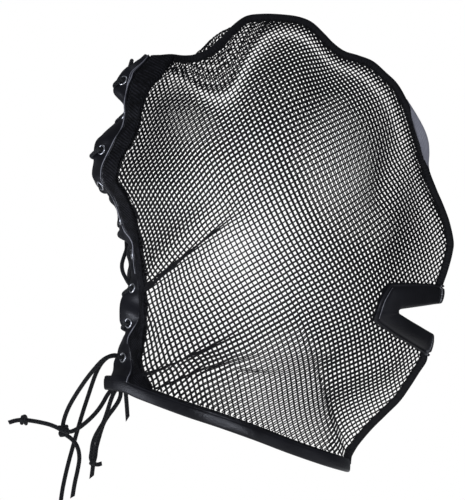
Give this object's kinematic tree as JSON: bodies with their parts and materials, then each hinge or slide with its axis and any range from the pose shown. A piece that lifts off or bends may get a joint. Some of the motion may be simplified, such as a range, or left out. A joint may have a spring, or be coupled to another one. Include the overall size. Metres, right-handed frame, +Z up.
{
  "type": "lace-up net hood",
  "caption": "Full-head hood of soft net with a ridge seam, an open leather mouth frame, a leather collar and laced eyelet strips down the back.",
  "frame": {"origin": "inner crown, where the hood sits on the head", "axes": "+Z up along the worn head, -Y the way the wearer faces, +X the wearer's left"},
  "size_m": [0.1598, 0.2849, 0.3189],
  "materials": {
    "net": "matt black knitted net",
    "binding": "matt black bound seam and gathered hem",
    "leather": "soft charcoal leather, satin",
    "lace": "matt black braided cord",
    "eyelet_metal": "polished grey metal"
  },
  "bodies": {
    "root": {"net_panel_left": "net", "net_panel_right": "net", "crown_seam": "binding", "face_seam": "binding", "mouth_band": "leather", "collar": "leather", "back_hem_left": "binding", "back_hem_right": "binding", "eyelet_strip_left": "leather", "eyelet_strip_right": "leather", "lace": "lace", "lace_end_right": "lace", "lace_end_left": "lace", "lace_bow": "lace", "lace_tail_front": "lace", "lace_tail_rear": "lace", "lace_tip": "lace", "knot_tie": "lace", "knot_meeting": "lace", "knot_stopper": "lace", "knot_small": "lace", "eyelet_left_1": "eyelet_metal", "eyelet_left_2": "eyelet_metal", "eyelet_left_3": "eyelet_metal", "eyelet_left_4": "eyelet_metal", "eyelet_left_5": "eyelet_metal", "eyelet_left_6": "eyelet_metal", "eyelet_left_7": "eyelet_metal", "eyelet_left_8": "eyelet_metal", "eyelet_left_9": "eyelet_metal", "eyelet_right_1": "eyelet_metal", "eyelet_right_2": "eyelet_metal", "eyelet_right_3": "eyelet_metal", "eyelet_right_4": "eyelet_metal", "eyelet_right_5": "eyelet_metal", "eyelet_right_6": "eyelet_metal", "eyelet_right_7": "eyelet_metal", "eyelet_right_8": "eyelet_metal", "eyelet_right_9": "eyelet_metal"}
  },
  "joints": []
}
